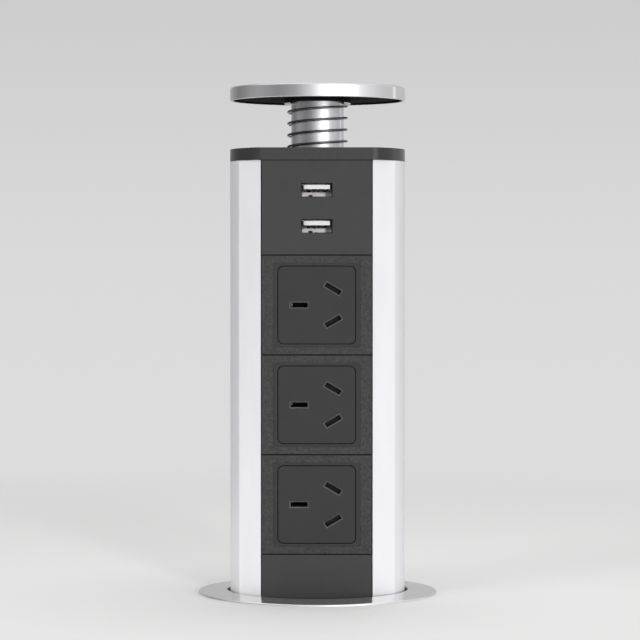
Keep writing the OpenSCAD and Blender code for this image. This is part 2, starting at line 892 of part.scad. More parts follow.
module neutral_bar() {
    color("goldenrod") contact_bar(neutral_x, pole_x, -pole_pitch / 2, slot_slope, bar_high);
}

module earth_bar() {
    color("goldenrod") contact_bar(-earth_x, -earth_x, 0, 0, housing_top - housing_wall - bar_end_gap);
}

module blank_panel() {
    color("dimgray") panel(shell_z, blank_top - shell_z);
}

// Supply connection

module terminal_block() {
    color("whitesmoke") difference() {
        translate([-block_w / 2, block_y - block_d / 2, block_z]) cube([block_w, block_d, block_h]);
        for (x = wire_xs) translate([x, block_y - block_d / 2 - over, block_z + block_h / 2])
            rotate([-90, 0, 0]) cylinder(r = clamp_r + fit, h = clamp_len);
        for (x = wire_xs) translate([x, block_y, block_z + block_h - wire_hole])
            cylinder(r = core_d / 2 + fit, h = wire_hole + over);
    }
}

module terminal_screws() {
    color("silver") for (x = wire_xs) translate([x, block_y - block_d / 2 - clamp_out, block_z + block_h / 2])
        rotate([-90, 0, 0]) cylinder(r = clamp_r, h = clamp_len);
}

module inner_wires() {
    ends = [-earth_x, neutral_x, live_x];
    color("firebrick") for (pole = [0:2]) {
        from = [wire_xs[pole], block_y, block_z + block_h - wire_in];
        to = [ends[pole], -(bar_y + bar_t / 2), bar_low];
        rings = [for (k = [0:wire_steps]) wire_ring(from, to, k)];
        polyhedron([for (ring = rings) each ring], tube_faces(len(rings)));
    }
}

module gland_body() {
    high = shell_z + gland_inside;
    color("dimgray") difference() {
        union() {
            translate([0, 0, base_z - gland_flange]) cylinder(r = gland_hex / 2, h = gland_flange, $fn = 6);
            translate([0, 0, gland_low]) cylinder(r = gland_r, h = high - gland_low);
        }
        translate([0, 0, gland_low - over]) cylinder(r = gland_bore_r, h = high - gland_low + 2 * over);
    }
}

module gland_locknut() {
    color("dimgray") difference() {
        translate([0, 0, shell_z]) cylinder(r = gland_hex / 2 - locknut_inset, h = locknut_h, $fn = 6);
        translate([0, 0, shell_z - over]) cylinder(r = gland_r + fit, h = locknut_h + 2 * over);
    }
}

module gland_seal() {
    color("black") tube(gland_bore_r - fit, cable_d / 2, gland_low, seal_h);
}

module gland_nut() {
    color("dimgray") difference() {
        union() {
            translate([0, 0, nut_low + gland_taper]) cylinder(r = gland_hex / 2, h = gland_stub, $fn = 6);
            translate([0, 0, nut_low])
                cylinder(r1 = gland_r - nut_tip, r2 = gland_r + nut_shoulder, h = gland_taper + over);
        }
        translate([0, 0, nut_low - over])
            cylinder(r = cable_d / 2 + gland_mouth, h = gland_stub + gland_taper);
        translate([0, 0, gland_low]) cylinder(r = gland_r + fit, h = gland_stub + over);
    }
}

// Lid, post, spring and latch

module post_bush() {
    color("ivory") difference() {
        union() {
            translate([0, 0, bush_seat]) cylinder(r = bush_flange_r, h = bush_flange_t);
            translate([0, 0, bush_low]) cylinder(r = bush_r, h = bush_seat - bush_low + over);
        }
        translate([0, 0, bush_low - over]) cylinder(r = post_r + run, h = cap_t + cap_z - bush_low);
    }
}

module lid_spring() {
    color("dimgray") polyhedron([for (ring = coil_tube) each ring], tube_faces(len(coil_tube)));
}

module lid_shell() {
    inner = tower_r - lid_rim;
    color("silver") rotate_extrude() polygon([
        [0, lid_top], [0, lid_top - lid_skin], [inner, lid_top - lid_skin], [inner, lid_z],
        [tower_r - lid_bevel / 2, lid_z], [tower_r, lid_z + lid_bevel / 2],
        [tower_r, lid_top - lid_bevel], [tower_r - lid_bevel, lid_top]
    ]);
}

module lid_liner() {
    color("black") difference() {
        rotate_extrude() polygon([
            [0, liner_top], [0, liner_z], [liner_r - liner_edge, liner_z],
            [liner_r - liner_edge, lid_z + fit], [liner_r, lid_z + fit], [liner_r, liner_top]
        ]);
        translate([0, 0, liner_z - over]) cylinder(r = post_bolt_r + fit, h = lid_t);
        translate([0, 0, bolt_head_z]) cylinder(r = 2 * post_bolt_r, h = lid_t);
    }
}

module lid_boss() {
    color("black") tube(boss_d / 2, post_r + fit, boss_bottom, liner_z - boss_bottom);
}

// Washer that is pushed onto the post from behind, open to the front
module spring_washer() {
    color("silver") difference() {
        tube(boss_d / 2, post_r + fit, spring_high, seat_t);
        block(0, spring_high - over, 2 * (post_r + fit), seat_t + 2 * over, boss_d, 0);
    }
}

module post() {
    color("silver") difference() {
        translate([0, 0, post_low]) cylinder(r = post_r, h = liner_z - post_low);
        translate([0, 0, post_low - over])
            cylinder(r = post_r - post_wall, h = liner_z - post_low - post_plug);
        translate([0, 0, liner_z - post_plug - 2 * over]) cylinder(r = post_bolt_r + fit, h = 2 * post_plug);
        tube(post_r + over, post_r - groove_deep, clip_high - clip_h - fit, clip_h + 2 * fit);
    }
}

module post_screw() {
    color("silver") {
        translate([0, 0, bolt_head_z])
            cylinder(r = 2 * post_bolt_r - bolt_gap, h = liner_top - bolt_head_z - fit);
        translate([0, 0, liner_z - post_plug]) cylinder(r = post_bolt_r, h = post_plug + bolt_floor + over);
    }
}

module post_clip() {
    color("gray") difference() {
        tube(post_r + clip_out, post_r - clip_in, clip_high - clip_h, clip_h);
        translate([-clip_mouth / 2, 0, clip_high - clip_h - over])
            cube([clip_mouth, post_d, clip_h + 2 * over]);
    }
}

module latch_striker() {
    color("gray") {
        translate([0, 0, post_low]) cylinder(r = post_r - post_wall - striker_fit, h = striker_plug);
        translate([0, 0, striker_low]) cylinder(r = striker_r, h = post_low - striker_low + over);
    }
}

module latch_body() {
    color("dimgray") difference() {
        translate([-latch_w / 2, -latch_w / 2, latch_low]) cube([latch_w, latch_w, latch_h]);
        translate([0, 0, striker_low - lid_travel - latch_floor_gap])
            cylinder(r = striker_r + latch_play, h = lid_travel + latch_h);
    }
}

module latch_bracket() {
    color("silver") difference() {
        union() {
            translate([-strap_w / 2, -latch_w / 2, latch_low - plate_t])
                cube([strap_w, strap_y + plate_t + latch_w / 2, plate_t]);
            translate([-strap_w / 2, strap_y, latch_low - plate_t])
                cube([strap_w, plate_t, cap_z - latch_low + plate_t]);
            translate([-strap_w / 2, strap_y, cap_z - plate_t]) cube([strap_w, strap_foot, plate_t]);
        }
        for (x = [-1, 1]) translate([x * strap_screw_x, strap_screw_y, cap_z - plate_t - over])
            cylinder(r = screw_r + fit, h = plate_t + 2 * over);
    }
}

module bracket_screws() {
    color("silver") for (x = [-1, 1]) translate([x * strap_screw_x, strap_screw_y, cap_z]) {
        translate([0, 0, -plate_t - strap_head_h]) cylinder(r = screw_head_r, h = strap_head_h);
        translate([0, 0, -plate_t - over])
            cylinder(r = screw_r - fit / 2, h = plate_t + strap_screw_in + over);
    }
}

trim_ring();
collar();
glide_pads();
clamp_washer();
ring_nut();
tower_shell();
top_cap();
cap_screws();
post_bush();
latch_bracket();
latch_body();
bracket_screws();
usb_plate();
usb_shell_upper();
usb_shell_lower();
usb_tongues();
usb_pins();
usb_board();
usb_parts();
usb_leads();
socket_frame_upper();
socket_frame_middle();
socket_frame_lower();
socket_insert_upper();
socket_insert_middle();
socket_insert_lower();
shutter_upper();
shutter_middle();
shutter_lower();
contact_housing();
live_bar();
neutral_bar();
earth_bar();
blank_panel();
bottom_cap();
bottom_screws();
terminal_block();
terminal_screws();
inner_wires();
gland_body();
gland_locknut();
gland_seal();
gland_nut();
lid_spring();
lid_shell();
lid_liner();
lid_boss();
spring_washer();
post();
post_screw();
post_clip();
latch_striker();
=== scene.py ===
"""Dresses the pop up desk socket: its detailed pieces, their finishes, the studio and the camera."""

import json
from math import atan, cos, pi, radians, sin

import bpy
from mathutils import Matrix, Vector


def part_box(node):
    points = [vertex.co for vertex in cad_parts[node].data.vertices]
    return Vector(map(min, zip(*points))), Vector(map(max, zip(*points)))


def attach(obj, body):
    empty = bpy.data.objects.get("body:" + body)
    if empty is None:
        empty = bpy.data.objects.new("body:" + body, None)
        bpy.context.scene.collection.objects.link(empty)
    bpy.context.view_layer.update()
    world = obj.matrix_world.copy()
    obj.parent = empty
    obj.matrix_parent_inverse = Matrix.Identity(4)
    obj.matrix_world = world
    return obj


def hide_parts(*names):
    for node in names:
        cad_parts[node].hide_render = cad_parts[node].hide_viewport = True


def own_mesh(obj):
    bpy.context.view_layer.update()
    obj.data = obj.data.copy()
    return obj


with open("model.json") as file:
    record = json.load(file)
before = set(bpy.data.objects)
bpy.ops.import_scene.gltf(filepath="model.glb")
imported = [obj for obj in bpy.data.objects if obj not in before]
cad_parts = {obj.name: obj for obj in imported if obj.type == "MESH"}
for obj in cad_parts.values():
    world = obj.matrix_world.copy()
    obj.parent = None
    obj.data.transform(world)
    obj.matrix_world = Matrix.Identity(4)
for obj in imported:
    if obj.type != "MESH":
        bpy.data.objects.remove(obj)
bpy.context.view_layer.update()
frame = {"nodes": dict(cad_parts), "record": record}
nodes = frame["nodes"]
record = frame["record"]
body_of_node = {node: body for body, members in record["behaviour"]["bodies"].items()
                for node in members}
slot_of_node = {row["node"]: row["material_slot"] for row in record["subparts"]}

MM = 0.001

# Sides of a large turned piece, of a small one and of the spring's wire
LARGE_SIDES = 192
SMALL_SIDES = 48
WIRE_SIDES = 16

# Places that the frame gives
tower_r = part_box("lid_shell")[1].x
lid_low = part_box("lid_shell")[0].z
lid_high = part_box("lid_shell")[1].z
boss_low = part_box("lid_boss")[0].z
boss_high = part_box("lid_boss")[1].z
boss_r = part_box("lid_boss")[1].x
post_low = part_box("post")[0].z
post_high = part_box("post")[1].z
post_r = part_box("post")[1].x
spring_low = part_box("lid_spring")[0].z
spring_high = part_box("lid_spring")[1].z
cap_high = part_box("top_cap")[1].z
base_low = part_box("bottom_cap")[0].z
socket_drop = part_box("socket_frame_middle")[0].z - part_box("socket_frame_upper")[0].z
port_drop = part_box("usb_shell_lower")[0].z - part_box("usb_shell_upper")[0].z

# Lid and post sizes that the frame's boxes don't give
LID_SKIN = 1.5 * MM
LID_RIM = 1.2 * MM
LID_EDGE = 0.6 * MM
POST_WALL = 2 * MM
POST_GAP = 0.1 * MM
GROOVE_DEEP = 0.8 * MM
GROOVE_LOW = 1.5 * MM
GROOVE_HIGH = 2.9 * MM

# Spring
WIRE_R = 0.48 * MM
COIL_R = 12.6 * MM
COIL_TURNS = 4
COIL_STEPS = 64
COIL_START = radians(29)

# Front panels
SEAM_OPEN = 0.1 * MM
SEAM_DEEP = 1.2 * MM
SEAM_SHUT = 0.14 * MM
SIDE_OPEN = 0.15 * MM
RECESS_DEEP = 0.3 * MM

# Charging ports
PORT_WALL = 0.3 * MM
PORT_EDGE = 0.03 * MM
PORT_SET_BACK = 1 * MM
TONGUE_WIDE = 11.1 * MM
TONGUE_THICK = 1.84 * MM
TONGUE_LONG = 7.6 * MM
TONGUE_LIFT = 0.4 * MM
FOOT_LONG = 0.5 * MM
FOOT_TALL = 0.95 * MM
NOTCH_LEFT = -3.6 * MM
NOTCH_RIGHT = -1.9 * MM
NOTCH_TALL = 0.7 * MM
OVERLAP = 1 * MM
PIN_XS = (-3.5 * MM, -1 * MM, 1 * MM, 3.5 * MM)
PIN_WIDE = 1 * MM
PIN_DEEP = 1.2 * MM

# Countersunk screws
SCREW_R = 1.45 * MM
SCREW_HEAD_R = 2.8 * MM
SCREW_LONG = 14 * MM
SCREW_RING_R = 33.5 * MM
SCREW_TURNS = (28, 80, 280, 332)
CROSS_LONG = 3.2 * MM
CROSS_WIDE = 0.7 * MM
CROSS_DEEP = 1.1 * MM

# Rounds on the edges
LID_ROUND = 0.35 * MM
BOSS_ROUND = 0.2 * MM
POST_ROUND = 0.2 * MM
LINER_ROUND = 0.1 * MM
SEAT_ROUND = 0.15 * MM
SHELL_ROUND = 0.3 * MM
CAP_ROUND = 0.35 * MM
PANEL_ROUND = 0.1 * MM
TONGUE_ROUND = 0.4 * MM
FOOT_ROUND = 0.05 * MM
PIN_ROUND = 0.35 * MM
SCREW_ROUND = 0.08 * MM
RING_ROUND = 0.25 * MM
COLLAR_ROUND = 0.15 * MM
NUT_ROUND = 0.5 * MM
WASHER_ROUND = 0.2 * MM
BASE_ROUND = 0.3 * MM
GLAND_ROUND = 0.3 * MM
GLAND_CAP_ROUND = 0.4 * MM

# Edges sharper than this many degrees are rounded, and on the shell and the ring blunter ones too
SHARP = 30
SHELL_SHARP = 12
RING_SHARP = 20

# Points nearer than this are one, in new shapes and in copies of nodes, or lie in one plane
MERGE = 0.001 * MM
NODE_MERGE = 0.002 * MM
NEAR = 0.01 * MM

# Angles up to which faces are one flat face, or shade smoothly
FLAT_ANGLE = radians(0.5)
SMOOTH_ANGLE = radians(40)
WIRE_SMOOTH_ANGLE = radians(50)

# How far a face looks forwards: along a slot's slanted edge, at a panel's front and at a tube's end
SLANT_LOW = 0.6
SLANT_HIGH = 0.8
FRONT_FACE = 0.97
END_FACE = 0.9


# Modelling by hand

def only(obj):
    """Makes one object the only selected one, and the active one."""
    bpy.ops.object.select_all(action="DESELECT")
    bpy.context.view_layer.objects.active = obj
    obj.select_set(True)


def edit_all(obj):
    """Enters edit mode with the whole mesh selected."""
    only(obj)
    bpy.ops.object.mode_set(mode="EDIT")
    bpy.ops.mesh.select_mode(type="VERT")
    bpy.ops.mesh.select_all(action="SELECT")


def edit_faces(obj, wanted):
    """Enters edit mode with the faces selected whose middle and normal pass a test."""
    only(obj)
    bpy.ops.object.mode_set(mode="EDIT")
    bpy.ops.mesh.select_mode(type="FACE")
    bpy.ops.mesh.select_all(action="DESELECT")
    bpy.ops.object.mode_set(mode="OBJECT")
    for face in obj.data.polygons:
        face.select = wanted(face.center, face.normal)
    bpy.ops.object.mode_set(mode="EDIT")


def edit_points(obj, wanted):
    """Enters edit mode with the points selected whose place passes a test."""
    only(obj)
    bpy.ops.object.mode_set(mode="EDIT")
    bpy.ops.mesh.select_mode(type="VERT")
    bpy.ops.mesh.select_all(action="DESELECT")
    bpy.ops.object.mode_set(mode="OBJECT")
    for point in obj.data.vertices:
        point.select = wanted(point.co)
    bpy.ops.object.mode_set(mode="EDIT")


def leave_edit():
    """Goes back to object mode."""
    bpy.ops.object.mode_set(mode="OBJECT")


def settle(obj):
    """Puts an object's place, turn and size into its mesh."""
    only(obj)
    bpy.ops.object.transform_apply(location=True, rotation=True, scale=True)


def apply_modifier(obj, kind, **settings):
    """Adds a modifier with its settings and applies it."""
    only(obj)
    modifier = obj.modifiers.new(kind.title(), kind)
    for key, value in settings.items():
        setattr(modifier, key, value)
    bpy.ops.object.modifier_apply(modifier=modifier.name)


def round_edges(obj, width, segments=2, angle=SHARP):
    """Rounds the edges that are sharper than an angle, and keeps the flat faces flat."""
    apply_modifier(obj, "BEVEL", width=width, segments=segments, limit_method="ANGLE",
                   angle_limit=radians(angle), use_clamp_overlap=True)
    only(obj)
    bpy.ops.object.shade_smooth_by_angle(angle=SMOOTH_ANGLE)
    apply_modifier(obj, "WEIGHTED_NORMAL", keep_sharp=True)


def box(name, low, high):
    """Adds a cube between two corners."""
    bpy.ops.object.select_all(action="DESELECT")
    low, high = Vector(low), Vector(high)
    bpy.ops.mesh.primitive_cube_add(size=1, location=(low + high) / 2, scale=high - low)
    obj = bpy.context.object
    obj.name = name
    settle(obj)
    return obj


def turned(name, outline, bored, sides=LARGE_SIDES):
    """Turns (radius, height) points about the tower's axis, into a bored or a flat-ended shape."""
    bpy.ops.object.select_all(action="DESELECT")
    r, z = outline[0]
    bpy.ops.mesh.primitive_circle_add(vertices=sides, radius=r, location=(0, 0, z),
                                      fill_type="NOTHING" if bored else "NGON")
    obj = bpy.context.object
    obj.name = name
    settle(obj)
    bpy.ops.object.mode_set(mode="EDIT")
    bpy.ops.mesh.select_mode(type="EDGE")
    bpy.ops.mesh.select_all(action="SELECT")
    for next_r, next_z in outline[1:] + (outline[:1] if bored else []):
        bpy.ops.mesh.extrude_edges_move(TRANSFORM_OT_translate={"value": (0, 0, next_z - z)})
        bpy.ops.transform.resize(value=(next_r / r, next_r / r, 1), center_override=(0, 0, next_z))
        r, z = next_r, next_z
    if not bored:
        bpy.ops.mesh.edge_face_add()
    bpy.ops.mesh.select_all(action="SELECT")
    bpy.ops.mesh.remove_doubles(threshold=MERGE)
    bpy.ops.mesh.normals_make_consistent(inside=False)
    leave_edit()
    return obj


def copy_of_node(node, name):
    """Copies a node's mesh and joins its loose triangles into whole faces."""
    obj = bpy.data.objects.new(name, nodes[node].data.copy())
    bpy.context.scene.collection.objects.link(obj)
    edit_all(obj)
    bpy.ops.mesh.customdata_custom_splitnormals_clear()
    bpy.ops.mesh.remove_doubles(threshold=NODE_MERGE)
    bpy.ops.mesh.dissolve_limited(angle_limit=FLAT_ANGLE)
    leave_edit()
    return obj


def copy_at(obj, name, place, upside_down=False):
    """Copies a finished shape to another place, with its own mesh."""
    only(obj)
    bpy.ops.object.duplicate(linked=False)
    copy = bpy.context.object
    copy.name = name
    copy.location = place
    if upside_down:
        copy.rotation_euler = (pi, 0, 0)
    settle(copy)
    return copy


def join(name, pieces):
    """Joins several shapes into the first."""
    only(pieces[0])
    for piece in pieces:
        piece.select_set(True)
    bpy.ops.object.join()
    pieces[0].name = name
    return pieces[0]


def cut(obj, cutter):
    """Takes one shape out of another."""
    apply_modifier(obj, "BOOLEAN", operation="DIFFERENCE", object=cutter, solver="EXACT")
    bpy.data.objects.remove(cutter)


def hand_in(obj, finish, node, *trims):
    """Gives a piece its finish, trims on the faces that pass a test and its body, and hides its node."""
    obj.data.materials.clear()
    obj.data.materials.append(finish)
    for number, (trim, wanted) in enumerate(trims, start=1):
        obj.data.materials.append(trim)
        for face in obj.data.polygons:
            if wanted(face.center, face.normal):
                face.material_index = number
    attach(obj, body_of_node[node])
    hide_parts(node)


# Finishes

# Range of a noise pattern that holds nearly all of it
PATTERN_LOW = 0.3
PATTERN_HIGH = 0.7

# Size of the patches of uneven gloss or colour, and how far the roughness swings about its own value
PLASTIC_PATCH = 6 * MM
DRAWN_PATCH = 9 * MM
TURNED_PATCH = 12 * MM
PLATED_PATCH = 5 * MM
PLASTIC_SWING = 0.05
DRAWN_SWING = 0.04
TURNED_SWING = 0.03
PLATED_SWING = 0.05
METAL_SPREAD = 0.02
QUARTER_TURN = 0.25


def new_finish(name, roughness, metallic=0.0):
    """Starts a material: its tree, its shader and its places on the piece."""
    material = bpy.data.materials.new(name)
    material.use_nodes = True
    tree = material.node_tree
    shader = tree.nodes["Principled BSDF"]
    shader.inputs["Roughness"].default_value = roughness
    shader.inputs["Metallic"].default_value = metallic
    place = tree.nodes.new("ShaderNodeTexCoord").outputs["Object"]
    return material, tree, shader, place


def clouds(tree, place, size, stretch=(1, 1, 1), detail=3):
    """Cloudy pattern of about one size, stretched along the axes."""
    mapping = tree.nodes.new("ShaderNodeMapping")
    mapping.inputs["Scale"].default_value = [1 / share for share in stretch]
    tree.links.new(place, mapping.inputs["Vector"])
    texture = tree.nodes.new("ShaderNodeTexNoise")
    texture.inputs["Scale"].default_value = 1 / size
    texture.inputs["Detail"].default_value = detail
    tree.links.new(mapping.outputs["Vector"], texture.inputs["Vector"])
    return texture.outputs["Fac"]


def vary(tree, pattern, socket, low, high):
    """Drives a number from a pattern, between two values."""
    ranged = tree.nodes.new("ShaderNodeMapRange")
    ranged.inputs["From Min"].default_value = PATTERN_LOW
    ranged.inputs["From Max"].default_value = PATTERN_HIGH
    ranged.inputs["To Min"].default_value = low
    ranged.inputs["To Max"].default_value = high
    tree.links.new(pattern, ranged.inputs["Value"])
    tree.links.new(ranged.outputs["Result"], socket)


def tint(tree, pattern, socket, color, spread):
    """Drives a colour from a pattern, a share darker and lighter than the finish's own."""
    ramp = tree.nodes.new("ShaderNodeValToRGB")
    ramp.color_ramp.elements[0].position = PATTERN_LOW
    ramp.color_ramp.elements[1].position = PATTERN_HIGH
    ramp.color_ramp.elements[0].color = [c * (1 - spread) for c in color] + [1]
    ramp.color_ramp.elements[1].color = [c * (1 + spread) for c in color] + [1]
    tree.links.new(pattern, ramp.inputs["Fac"])
    tree.links.new(ramp.outputs["Color"], socket)


def raise_grain(tree, pattern, shader, depth):
    """Makes a pattern stand up from the surface."""
    bump = tree.nodes.new("ShaderNodeBump")
    bump.inputs["Distance"].default_value = depth
    tree.links.new(pattern, bump.inputs["Height"])
    tree.links.new(bump.outputs["Normal"], shader.inputs["Normal"])


def plastic(name, color, roughness, grain=0.5 * MM, depth=0.005 * MM, spread=0.06, gloss=0.5):
    """Moulded plastic: eroded grain, slight clouds in its colour and uneven gloss."""
    material, tree, shader, place = new_finish(name, roughness)
    shader.inputs["Specular IOR Level"].default_value = gloss
    fine = clouds(tree, place, grain)
    tint(tree, fine, shader.inputs["Base Color"], color, spread)
    vary(tree, clouds(tree, place, PLASTIC_PATCH), shader.inputs["Roughness"],
         roughness - PLASTIC_SWING, roughness + PLASTIC_SWING)
    raise_grain(tree, fine, shader, depth)
    return material


def drawn_metal(name, color, roughness, metallic=1.0, stretch=(1, 1, 60), line=0.25 * MM,
                depth=0.002 * MM):
    """Metal with fine lines along one axis, left by its drawing or brushing."""
    material, tree, shader, place = new_finish(name, roughness, metallic)
    lines = clouds(tree, place, line, stretch)
    patches = clouds(tree, place, DRAWN_PATCH, stretch=(1, 1, 4))
    tint(tree, patches, shader.inputs["Base Color"], color, METAL_SPREAD)
    vary(tree, lines, shader.inputs["Roughness"], roughness - DRAWN_SWING, roughness + DRAWN_SWING)
    raise_grain(tree, lines, shader, depth)
    return material


def turned_metal(name, color, roughness, streak, line=0.12 * MM, depth=0.001 * MM):
    """Metal with the fine rings of a lathe, which stretch what it mirrors across them."""
    material, tree, shader, place = new_finish(name, roughness, 1.0)
    shader.inputs["Anisotropic"].default_value = streak
    shader.inputs["Anisotropic Rotation"].default_value = QUARTER_TURN
    around = tree.nodes.new("ShaderNodeTangent")
    around.direction_type = "RADIAL"
    around.axis = "Z"
    tree.links.new(around.outputs["Tangent"], shader.inputs["Tangent"])
    split = tree.nodes.new("ShaderNodeSeparateXYZ")
    flat = tree.nodes.new("ShaderNodeCombineXYZ")
    reach = tree.nodes.new("ShaderNodeVectorMath")
    along = tree.nodes.new("ShaderNodeMath")
    rings = tree.nodes.new("ShaderNodeTexNoise")
    reach.operation = "LENGTH"
    along.operation = "ADD"
    rings.noise_dimensions = "1D"
    rings.inputs["Scale"].default_value = 1 / line
    rings.inputs["Detail"].default_value = 3
    tree.links.new(place, split.inputs["Vector"])
    tree.links.new(split.outputs["X"], flat.inputs["X"])
    tree.links.new(split.outputs["Y"], flat.inputs["Y"])
    tree.links.new(flat.outputs["Vector"], reach.inputs[0])
    tree.links.new(reach.outputs["Value"], along.inputs[0])
    tree.links.new(split.outputs["Z"], along.inputs[1])
    tree.links.new(along.outputs["Value"], rings.inputs["W"])
    tint(tree, clouds(tree, place, TURNED_PATCH), shader.inputs["Base Color"], color, METAL_SPREAD)
    vary(tree, rings.outputs["Fac"], shader.inputs["Roughness"],
         roughness - TURNED_SWING, roughness + TURNED_SWING)
    raise_grain(tree, rings.outputs["Fac"], shader, depth)
    return material


def plated_metal(name, color, roughness, grain=0.3 * MM, depth=0.002 * MM, spread=0.06,
                 metallic=1.0):
    """Metal with an even fine grain, such as plated, blasted or stamped sheet."""
    material, tree, shader, place = new_finish(name, roughness, metallic)
    fine = clouds(tree, place, grain)
    tint(tree, clouds(tree, place, PLATED_PATCH), shader.inputs["Base Color"], color, spread)
    vary(tree, fine, shader.inputs["Roughness"], roughness - PLATED_SWING, roughness + PLATED_SWING)
    raise_grain(tree, fine, shader, depth)
    return material


def felt(name, color, roughness, sheen=0.4, fibre=0.3 * MM, depth=0.15 * MM, spread=0.4):
    """Pressed felt: matted fibres with a soft sheen."""
    material, tree, shader, place = new_finish(name, roughness)
    shader.inputs["Sheen Weight"].default_value = sheen
    fibres = clouds(tree, place, fibre, stretch=(1, 1, 3), detail=5)
    tint(tree, fibres, shader.inputs["Base Color"], color, spread)
    raise_grain(tree, fibres, shader, depth)
    return material


shell_silver = drawn_metal("shell_silver", (0.86, 0.855, 0.88), roughness=0.4, metallic=0.45)
lid_silver = turned_metal("lid_silver", (0.88, 0.88, 0.91), roughness=0.2, streak=0.6)
post_silver = turned_metal("post_silver", (0.83, 0.83, 0.87), roughness=0.26, streak=0.9,
                           line=0.15 * MM, depth=0.0005 * MM)
ring_silver = plated_metal("ring_silver", (0.9, 0.9, 0.91), roughness=0.15, grain=0.25 * MM,
                           depth=0.0008 * MM, spread=0.015, metallic=0.93)
frame_black = plastic("frame_black", (0.024, 0.024, 0.024), roughness=0.6, grain=1 * MM,
                      depth=0.12 * MM, spread=0.5)
plate_black = plastic("plate_black", (0.027, 0.027, 0.0275), roughness=0.55, grain=0.4 * MM,
                      depth=0.008 * MM, gloss=0.45)
insert_black = plastic("insert_black", (0.0175, 0.0175, 0.0175), roughness=0.5, grain=0.4 * MM,
                       depth=0.004 * MM, gloss=0.42)
# Slots' chamfers: a lighter grey than the insert is a painted highlight; their higher gloss is real
slot_edge_highlight = plastic("slot_edge_highlight", (0.065, 0.065, 0.065), roughness=0.3, grain=0.3 * MM,
                     depth=0.002 * MM, gloss=1.0)
cap_black = plastic("cap_black", (0.0215, 0.0215, 0.0215), roughness=0.25, grain=0.4 * MM,
                    depth=0.003 * MM)
collar_black = plastic("collar_black", (0.015, 0.015, 0.016), roughness=0.5, grain=0.5 * MM,
                       depth=0.006 * MM)
liner_black = plastic("liner_black", (0.006, 0.006, 0.006), roughness=0.9, depth=0.03 * MM, gloss=0.1)
shutter_black = plastic("shutter_black", (0.007, 0.007, 0.007), roughness=0.5, grain=0.4 * MM,
                        depth=0.003 * MM, gloss=0.3)
tongue_white = plastic("tongue_white", (0.54, 0.523, 0.52), roughness=0.4, depth=0.002 * MM, spread=0.02)
# White housing plastic given a mid grey: painted shade where it shows through the front's gaps
housing_shade_grey = plastic("housing_shade_grey", (0.3, 0.3, 0.3), roughness=0.45, grain=0.8 * MM, spread=0.04)
bush_ivory = plastic("bush_ivory", (0.7, 0.66, 0.55), roughness=0.4, depth=0.003 * MM, spread=0.04)
# Circuit board: near black, painted shade where it shows through the tongues' notches
board_shade_black = plastic("board_shade_black", (0.008, 0.01, 0.009), roughness=0.35, grain=1.5 * MM,
                      depth=0.01 * MM, spread=0.2)
winding_brown = plastic("winding_brown", (0.12, 0.09, 0.04), roughness=0.4, grain=1 * MM, spread=0.2)
sheath_red = plastic("sheath_red", (0.4, 0.06, 0.05), roughness=0.4, grain=0.8 * MM)
rubber_black = plastic("rubber_black", (0.012, 0.012, 0.012), roughness=0.85, grain=0.3 * MM,
                       depth=0.01 * MM, gloss=0.2)
bright_steel = plated_metal("bright_steel", (0.85, 0.84, 0.83), roughness=0.22)
# Port lining: steel darkened to a dark grey, painted shade inside the charging ports
port_shade_grey = plated_metal("port_shade_grey", (0.16, 0.155, 0.15), roughness=0.4, grain=0.2 * MM, metallic=0.6)
zinc_steel = plated_metal("zinc_steel", (0.62, 0.62, 0.62), roughness=0.3, grain=0.4 * MM)
wire_dark = drawn_metal("wire_dark", (0.2, 0.2, 0.21), roughness=0.1, stretch=(8, 8, 1),
                        line=0.3 * MM, depth=0.001 * MM)
# Contacts: brass darkened to near black, painted shade inside the slots and ports
contact_shade_dark = plated_metal("contact_shade_dark", (0.03, 0.026, 0.02), roughness=0.4)
felt_grey = felt("felt_grey", (0.1, 0.1, 0.1), roughness=0.95)

finish_of_slot = {
    "ring_aluminium": ring_silver, "shell_aluminium": shell_silver, "lid_aluminium": lid_silver,
    "post_metal": post_silver, "panel_plastic": plate_black, "insert_plastic": insert_black,
    "collar_plastic": collar_black, "shutter_plastic": shutter_black, "liner_plastic": liner_black,
    "white_plastic": housing_shade_grey, "bush_plastic": bush_ivory, "port_steel": port_shade_grey,
    "spring_steel": wire_dark, "screw_steel": zinc_steel, "contact_brass": contact_shade_dark,
    "board_resin": board_shade_black, "board_parts": winding_brown, "wire_sheath": sheath_red,
    "pad_felt": felt_grey, "seal_rubber": rubber_black,
}


# Lid, post and spring

def lid():
    """Turned lid: a flat top, a low band and an open underside."""
    obj = turned("lid", [
        (tower_r - LID_EDGE, lid_high), (tower_r, lid_high - LID_EDGE), (tower_r, lid_low),
        (tower_r - LID_RIM, lid_low), (tower_r - LID_RIM, lid_high - LID_SKIN),
    ], bored=False)
    round_edges(obj, LID_ROUND, segments=3)
    hand_in(obj, lid_silver, "lid_shell")


def boss_ring():
    """Black ring around the post's top."""
    inner = post_r + POST_GAP
    obj = turned("boss_ring", [
        (boss_r, boss_high), (boss_r, boss_low), (inner, boss_low), (inner, boss_high),
    ], bored=True)
    round_edges(obj, BOSS_ROUND)
    hand_in(obj, liner_black, "lid_boss")


def polished_post():
    """Hollow post with the groove of its stop ring."""
    inner = post_r - POST_WALL
    groove_r = post_r - GROOVE_DEEP
    obj = turned("polished_post", [
        (post_r, post_high), (post_r, post_low + GROOVE_HIGH), (groove_r, post_low + GROOVE_HIGH),
        (groove_r, post_low + GROOVE_LOW), (post_r, post_low + GROOVE_LOW), (post_r, post_low),
        (inner, post_low), (inner, post_high),
    ], bored=True)
    round_edges(obj, POST_ROUND)
    hand_in(obj, post_silver, "post")


